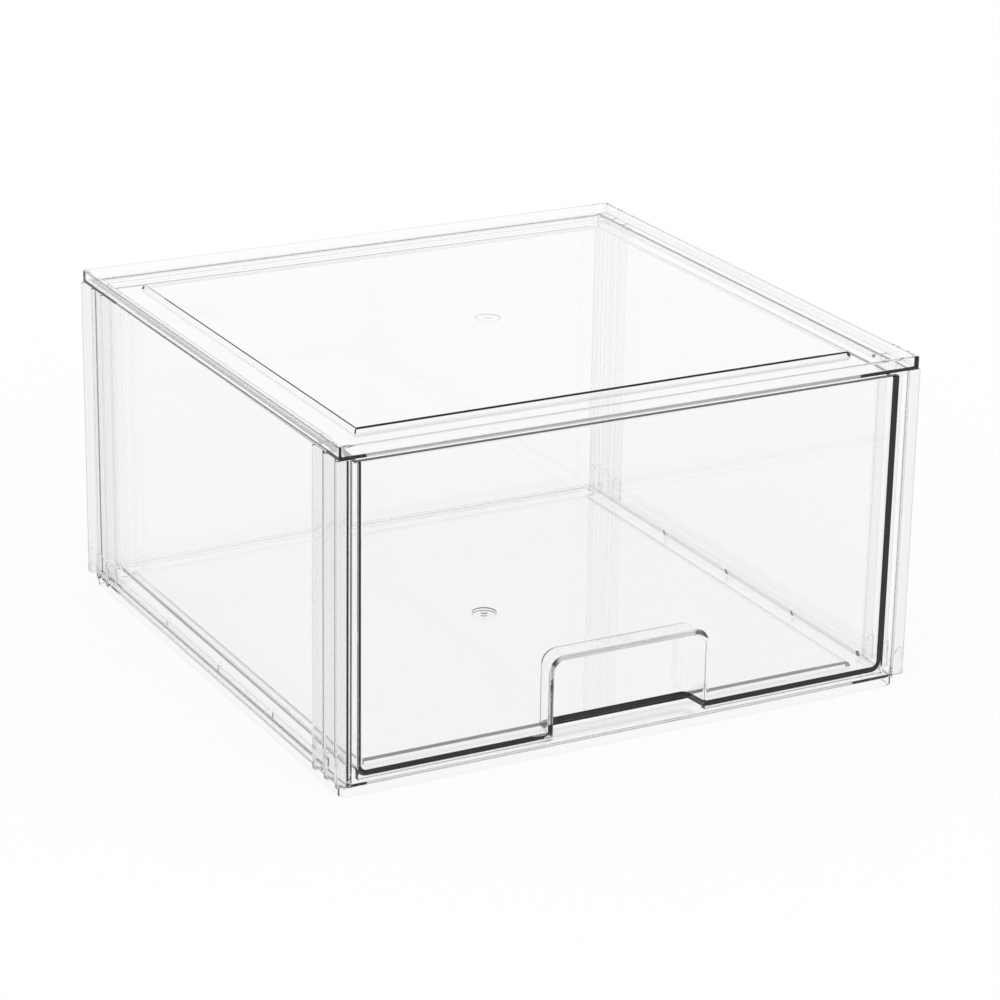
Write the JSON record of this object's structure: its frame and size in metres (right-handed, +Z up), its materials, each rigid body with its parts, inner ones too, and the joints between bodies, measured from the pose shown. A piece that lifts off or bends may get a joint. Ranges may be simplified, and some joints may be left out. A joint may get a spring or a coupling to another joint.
{
  "type": "stackable drawer box",
  "caption": "Clear moulded storage box with a sliding drawer, a finger pocket in the drawer front and a lip on top that takes the skirt of the next box.",
  "frame": {"origin": "on the resting plane under the base skirt, in the middle of the plan", "axes": "+Z up, +X to the right seen from the front, the drawer opens along -Y"},
  "size_m": [0.3, 0.293, 0.166],
  "materials": {
    "casing_plastic": "clear, polished",
    "drawer_plastic": "clear, polished"
  },
  "bodies": {
    "casing": {"top_panel": "casing_plastic", "base_panel": "casing_plastic", "left_side_panel": "casing_plastic", "right_side_panel": "casing_plastic", "back_panel": "casing_plastic"},
    "drawer": {"drawer": "drawer_plastic"}
  },
  "joints": [
    {"name": "drawer_slide", "type": "slide", "parent": "casing", "child": "drawer", "axis": [0, -1, 0], "range_m": [0, 0.24]}
  ]
}
